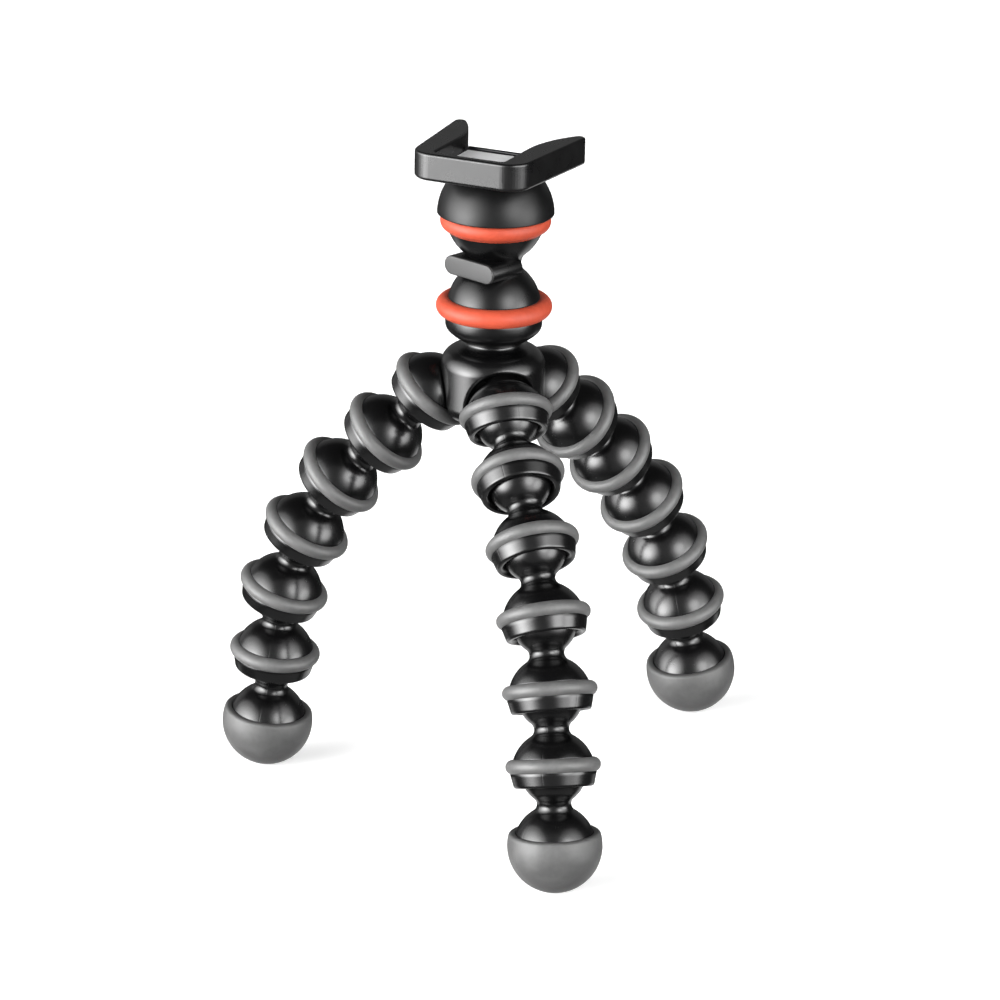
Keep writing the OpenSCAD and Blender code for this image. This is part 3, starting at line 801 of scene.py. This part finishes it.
def u_outline():
    """Plan of the walls, from the right front corner round: splayed outside, channel inside, flared into rounded tips."""
    cy = TIP_Y - TIP_R
    cx = arm_x(cy) - TIP_R / cos(ARM_SPLAY)
    a, b = cx - CHANNEL_W / 2, cy - LEAD_Y
    lead = (a * a + b * b - TIP_R ** 2) / (2 * (a - TIP_R))
    end = 180 - math.degrees(math.asin(b / (lead - TIP_R)))
    corner_x = REC_W / 2 + CORNER_R * (math.tan(rad(ARM_SPLAY)) - 1 / cos(ARM_SPLAY))
    right = np.vstack([
        arc(corner_x, -REC_FRONT + CORNER_R, CORNER_R, -90, -ARM_SPLAY, 14),
        arc(cx, cy, TIP_R, -ARM_SPLAY, end, 14),
        arc(CHANNEL_W / 2 + lead, LEAD_Y, lead, end, 180, 14)[1:],
        arc(CHANNEL_W / 2 - 0.7, IN_FRONT + 0.7, 0.7, 0, -90, 6)])
    return np.vstack([right, right[::-1] * np.array([-1, 1])])


def floor_outline():
    pts = [(arm_x(-REC_FRONT), -REC_FRONT), (arm_x(FLOOR_BACK), FLOOR_BACK), (-arm_x(FLOOR_BACK), FLOOR_BACK), (-arm_x(-REC_FRONT), -REC_FRONT)]
    return round_poly(pts, [CORNER_R, 0.3, 0.3, CORNER_R], 12)


U_PTS, FLOOR_PTS = u_outline(), floor_outline()


def plate_poly(grow=0.0):
    x = CHANNEL_W / 2 + grow
    return [(-x, IN_FRONT - grow), (x, IN_FRONT - grow), (x, PLATE_BACK + grow), (-x, PLATE_BACK + grow)]


def receiver_field(x, y, z):
    flat = x.ndim > 1
    if flat:
        xx, yy = np.broadcast_arrays(x[:, :, 0], y[:, :, 0])
        walls, floor, plate = (polygon_distance(xx, yy, s)[:, :, None] for s in (U_PTS, FLOOR_PTS, plate_poly()))
    else:
        walls, floor, plate = (polygon_distance(x, y, s) for s in (U_PTS, FLOOR_PTS, plate_poly()))
    top, under, floor_top = z - (FLOOR_Z + REC_H), FLOOR_Z - z, z - (FLOOR_Z + FLOOR_T)
    wall = r_inter(r_inter(walls, under, 0.6), top, 0.4)
    base = r_inter(r_inter(floor, under, 0.6), floor_top, 0.2)
    f = np.minimum(wall, base)
    q = np.sqrt(x * x + y * y)
    ball = np.sqrt(x * x + y * y + z * z)
    cup = r_inter(ball - CUP_R, CUP_RIM_Z - z, 0.15)
    cup = np.maximum(cup, z - (FLOOR_Z + 1.0))
    f = r_union(f, cup, 0.25)
    rib = np.maximum(np.sqrt((y - RIB_Y) ** 2 + (z - FLOOR_Z - FLOOR_T) ** 2) - RIB_R, np.abs(x) - 6.7)
    f = r_union(f, rib, 0.08)
    f = np.maximum(f, (HEAD_BALL_R + 0.05) - ball)
    ring = CUP_TUBE_R - np.sqrt((q - CUP_RING_R) ** 2 + (z - CUP_RING_Z) ** 2)
    f = np.maximum(f, ring)
    recess = np.maximum(plate, FLOOR_Z + FLOOR_T - PLATE_T - z)
    f = np.maximum(f, -recess)
    return f


p, q = surface_of(receiver_field, (-12.9, -13.7, -0.5), (12.9, 10.7, 13.4), 0.15)
finish_piece(quad_object("receiver_shell", p, q, M_REC, receiver_field), BODY_BLACK, "receiver", "black_plastic", "receiver")


def slab(outline, z0, z1, edge, steps=4):
    """A thin plate with a softly rounded top rim."""
    pts = np.asarray(outline, float)
    c = pts.mean(0)
    n = len(pts)
    levels = [(0.0, z0)]
    for i in range(steps + 1):
        t = math.pi / 2 * i / steps
        levels.append((edge * (1 - math.cos(t)), z1 - edge * (1 - math.sin(t))))
    verts = []
    for g, z in levels:
        d = pts - c
        s = 1 - g / np.abs(d).max(0)
        verts += [(*(c + d[i] * s), z) for i in range(n)]
    faces = []
    for a in range(len(levels) - 1):
        for j in range(n):
            k = (j + 1) % n
            faces.append((a * n + j, a * n + k, (a + 1) * n + k, (a + 1) * n + j))
    faces.append(tuple(range(n))[::-1])
    faces.append(tuple((len(levels) - 1) * n + j for j in range(n)))
    return np.array(verts), faces


v, f = slab(round_poly(plate_poly(-0.03), [0.25] * 4, 6), FLOOR_Z + FLOOR_T - PLATE_T, FLOOR_Z + FLOOR_T, 0.1)
finish_piece(mesh_object("floor_plate_face", v, f, M_REC), STEEL, "receiver", "steel_plate", "floor_plate")
t = np.radians(np.linspace(0, 360, 40, endpoint=False))
ring_pts = np.stack([CUP_RING_R + CUP_TUBE_R * np.cos(t), CUP_RING_Z + CUP_TUBE_R * np.sin(t)], 1)
reach = np.linalg.norm(ring_pts, axis=1)
ring_pts = np.where((reach < HEAD_BALL_R + 0.06)[:, None], ring_pts * ((HEAD_BALL_R + 0.06) / reach)[:, None], ring_pts)
v, f = closed_loop_lathe(ring_pts[::-1], 160, (60,), 0.03, 0.08)
finish_piece(mesh_object("cup_ring_grip", v, f, M_REC), RED_RUBBER, "receiver", "red_rubber", "cup_ring")

# ---------------------------------------------------------------------------
# Floor, light and camera
# ---------------------------------------------------------------------------
bpy.ops.mesh.primitive_plane_add(size=12.0, location=(0, 0, -0.00002))
floor_ob = bpy.context.object
floor_ob.name = "studio_floor"
fm, ft, fb = node_material("studio_floor")
fn = noise(ft, ft.nodes.new("ShaderNodeTexCoord").outputs["Object"], 6.0, 2.0)
fc = ramp(ft, fn.outputs["Fac"], [(0.3, (0.93, 0.93, 0.93)), (0.7, (0.95, 0.95, 0.95))])
ft.links.new(fc.outputs["Color"], fb.inputs["Base Color"])
fb.inputs["Roughness"].default_value = 0.9
fb.inputs["Specular IOR Level"].default_value = 0.0
fb.inputs["Emission Color"].default_value = (1.0, 1.0, 1.0, 1.0)
fb.inputs["Emission Strength"].default_value = 0.34
floor_ob.data.materials.append(fm)
# the softboxes reach below the table top, which neither blocks nor mirrors them
floor_ob.visible_glossy = False
floor_ob.visible_diffuse = False
floor_ob.visible_shadow = False

world = bpy.data.worlds.new("studio")
scene.world = world
world.use_nodes = True
bg = next(n for n in world.node_tree.nodes if n.type == "BACKGROUND")
bg.inputs["Color"].default_value = (1.0, 1.0, 1.0, 1.0)
bg.inputs["Strength"].default_value = 0.05

LIGHT_AWAY = 2.5
LIGHT_AIM = Vector((STAND[0], STAND[1], 55.0)) * MM


def softbox(name, az, el, half_w, half_h, radiance):
    """An elliptical soft light seen from the object at azimuth az (0 towards the viewer) and elevation el."""
    u = Vector((sin(az) * cos(el), -cos(az) * cos(el), sin(el)))
    d = bpy.data.lights.new(name, "AREA")
    d.shape = "ELLIPSE"
    d.size, d.size_y = 2 * LIGHT_AWAY * math.tan(rad(half_w)), 2 * LIGHT_AWAY * math.tan(rad(half_h))
    d.energy = radiance * math.pi * d.size * d.size_y
    ob = bpy.data.objects.new(name, d)
    scene.collection.objects.link(ob)
    ob.location = LIGHT_AIM + u * LIGHT_AWAY
    ob.rotation_mode = "QUATERNION"
    ob.rotation_quaternion = (-u).to_track_quat("-Z", "Y")
    ob.visible_camera = False
    return ob


# each main light is a stack of softer and smaller ovals, so that it fades towards its edges
SOFTBOXES = [
    ("left_1", -72, 15, 46, 36, 1.9), ("left_2", -69, 11, 37, 30, 2.7), ("left_3", -66, 8, 29, 24, 3.5),
    ("left_4", -64, 5, 20, 17, 4.5), ("left_5", -62, 2, 12, 11, 4.5),
    ("right_1", 52, 16, 40, 36, 1.15), ("right_2", 52, 12, 32, 29, 1.65), ("right_3", 50, 10, 22, 20, 1.8),
    ("right_high", 38, 19, 15, 14, 4.3), ("right_low", 68, -3, 17, 13, 4.0),
    ("left_back", -122, 8, 30, 24, 0.2), ("front_fill", -2, 14, 52, 40, 0.3),
]
for name, az, el, half_w, half_h, radiance in SOFTBOXES:
    softbox("softbox_" + name, az, el, half_w, half_h, radiance)
# what the glossy pieces mirror of the wall and the white table top
for name, az, el, half_w, half_h, radiance in (
    ("back_wall", 180, 16, 50, 22, 0.12), ("table_back", 180, -46, 46, 17, 0.8), ("table_front", 0, -76, 46, 34, 0.25),
):
    softbox(name, az, el, half_w, half_h, radiance).visible_diffuse = False

cam_data = bpy.data.cameras.new("camera")
cam = bpy.data.objects.new("camera", cam_data)
scene.collection.objects.link(cam)
tilt, roll, away = 19.353, -2.053, 898.49
aim = Vector((STAND[0] - 0.069, STAND[1], 53.254))
right = Vector((cos(roll), sin(roll) * sin(tilt), sin(roll) * cos(tilt)))
up = Vector((-sin(roll), cos(roll) * sin(tilt), cos(roll) * cos(tilt)))
ahead = Vector((0, cos(tilt), -sin(tilt)))
place = Matrix((right, up, -ahead)).transposed().to_4x4()
place.translation = (aim - ahead * away) * MM
cam.matrix_world = place
cam_data.sensor_width = 36.0
cam_data.lens = 187.2
cam_data.clip_start, cam_data.clip_end = 0.01, 50.0
scene.camera = cam
scene.view_settings.view_transform = "Standard"
